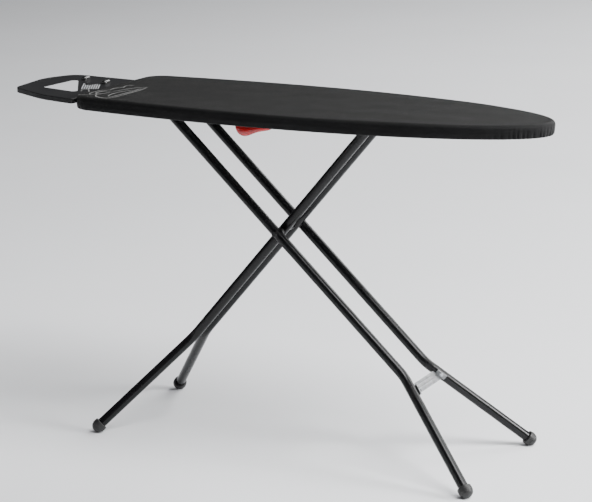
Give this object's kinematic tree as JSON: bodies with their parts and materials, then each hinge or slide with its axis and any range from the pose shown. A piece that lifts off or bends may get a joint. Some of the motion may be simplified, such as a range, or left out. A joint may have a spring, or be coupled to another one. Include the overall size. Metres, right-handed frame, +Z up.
{
  "type": "ironing board",
  "caption": "Folding ironing board with a padded fabric cover, crossed splayed tube legs, an under-board height lever and an iron rest at the square end.",
  "frame": {"origin": "on the floor under the middle of the whole board, iron rest included", "axes": "+X towards the pointed nose, +Z up, the height lever on the -Y side"},
  "size_m": [1.2922, 0.404, 0.7715],
  "materials": {
    "cover_fabric": "black woven cotton cover with a soft sheen",
    "elastic": "woven elastic",
    "foam": "needle felt and foam",
    "black_steel": "black powder coat, semi-gloss",
    "mesh_steel": "grey painted expanded steel",
    "rest_paint": "matte black powder coat",
    "zinc_steel": "bright zinc plate",
    "galvanised_steel": "galvanised pressed steel",
    "spring_steel": "drawn wire",
    "nylon": "natural nylon",
    "black_plastic": "moulded black plastic",
    "silicone": "black silicone",
    "red_plastic": "moulded red plastic"
  },
  "bodies": {
    "board": {"cover": "cover_fabric", "hem_elastic": "elastic", "foam_pad": "foam", "mesh_top": "mesh_steel", "rim_frame": "black_steel", "cross_strap_1": "black_steel", "cross_strap_2": "black_steel", "cross_strap_3": "black_steel", "cross_strap_4": "black_steel", "cross_strap_5": "black_steel", "rack_rail": "black_steel", "rail_rivets": "zinc_steel", "hinge_bracket_near": "black_steel", "hinge_bracket_far": "black_steel", "bracket_rivets": "zinc_steel", "lever_bracket": "black_steel", "iron_rest": "rest_paint", "rest_bumpers": "silicone", "rest_arm_near": "black_steel", "rest_arm_far": "black_steel", "rest_clips": "black_plastic", "rest_screws": "zinc_steel", "lever_spring": "spring_steel", "rack_pin": "zinc_steel", "rack_spring": "spring_steel"},
    "outer_leg": {"outer_leg_tube_far": "black_steel", "outer_leg_tube_near": "black_steel", "outer_foot_cap_far": "black_plastic", "outer_foot_cap_near": "black_plastic", "hinge_bar": "black_steel", "hinge_clips": "zinc_steel", "leg_brace": "galvanised_steel", "brace_screws": "zinc_steel"},
    "inner_leg": {"inner_leg_tube_far": "black_steel", "inner_leg_tube_near": "black_steel", "inner_foot_cap_far": "black_plastic", "inner_foot_cap_near": "black_plastic", "cross_axle": "black_steel", "axle_spacers": "black_plastic", "centre_sleeve": "black_steel", "slide_rod": "zinc_steel", "guide_washers": "nylon"},
    "lever": {"lever_rod": "zinc_steel", "lever_grip": "red_plastic"},
    "rack": {"height_rack": "galvanised_steel"}
  },
  "joints": [
    {"name": "leg_fold", "type": "hinge", "parent": "board", "child": "outer_leg", "pos_m": [-0.24496, 0, 0.742], "axis": [0, -1, 0], "range_deg": [-5.3, 38.7]},
    {"name": "leg_scissor", "type": "hinge", "parent": "outer_leg", "child": "inner_leg", "pos_m": [0.0361, 0, 0.484], "axis": [0, 1, 0], "range_deg": [-11.69, 84.74]},
    {"name": "lever_pull", "type": "hinge", "parent": "board", "child": "lever", "pos_m": [0.1141, 0, 0.748], "axis": [0, 1, 0], "range_deg": [0, 12.4], "stiffness_Nm_per_rad": 1.5, "springref_deg": -8.59},
    {"name": "rack_drop", "type": "hinge", "parent": "board", "child": "rack", "pos_m": [0.4341, 0, 0.726], "axis": [0, -1, 0], "range_deg": [0, 3], "deforming": ["rack_spring"]}
  ],
  "couplings": [
    {"joint": "leg_scissor", "follows": "leg_fold", "ratio": 2.187},
    {"joint": "rack_drop", "follows": "lever_pull", "ratio": 0.24}
  ]
}
